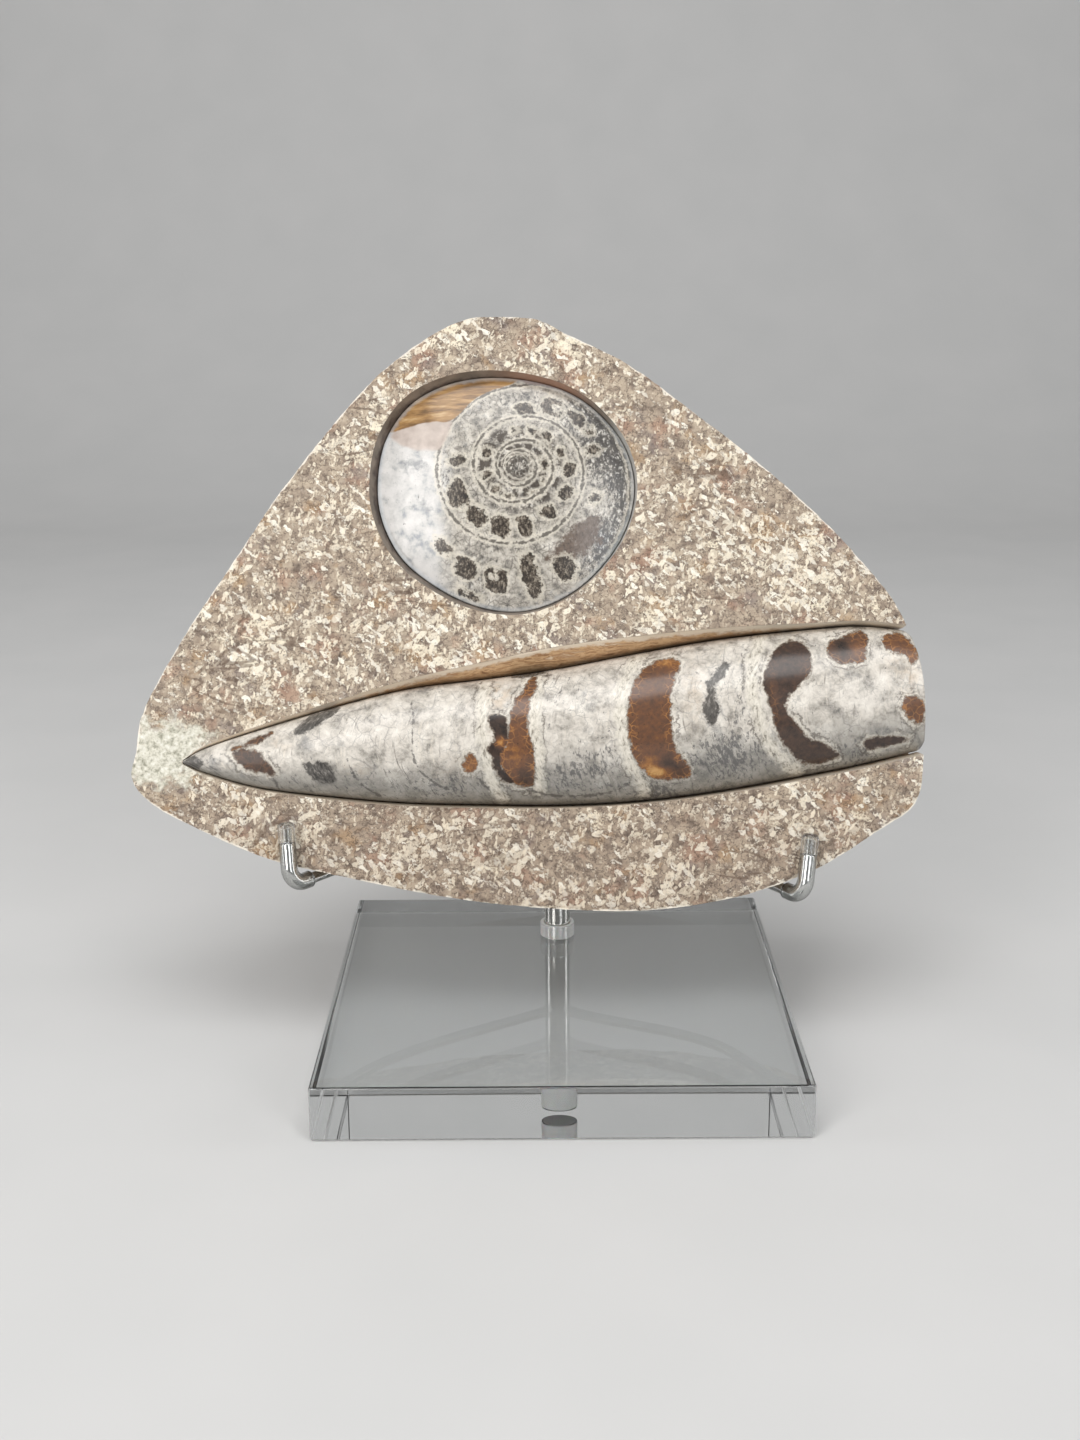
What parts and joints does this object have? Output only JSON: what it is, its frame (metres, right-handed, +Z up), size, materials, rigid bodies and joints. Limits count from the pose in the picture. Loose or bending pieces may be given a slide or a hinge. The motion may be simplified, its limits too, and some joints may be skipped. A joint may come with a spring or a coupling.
{
  "type": "orthoceras fossil",
  "caption": "Limestone slab with a polished orthoceras and a coiled goniatite, leaning on a clear block stand with a steel post and hooked arms.",
  "frame": {"origin": "centre of the clear block's bottom face", "axes": "+X to the right along the slab's width, +Y to the back towards the post, +Z up"},
  "size_m": [0.2253, 0.1304, 0.2022],
  "materials": {
    "matrix": "matte",
    "orthoceras": "polished",
    "goniatite": "polished",
    "steel": "polished",
    "vinyl": "gloss",
    "acrylic": "gloss",
    "bush": "matte"
  },
  "bodies": {
    "root": {"clear_block": "acrylic", "post_bush": "bush", "post": "steel", "post_cap": "vinyl", "left_arm": "steel", "right_arm": "steel", "left_sleeve": "vinyl", "right_sleeve": "vinyl", "slab": "matrix", "orthoceras": "orthoceras", "goniatite": "goniatite"}
  },
  "joints": []
}
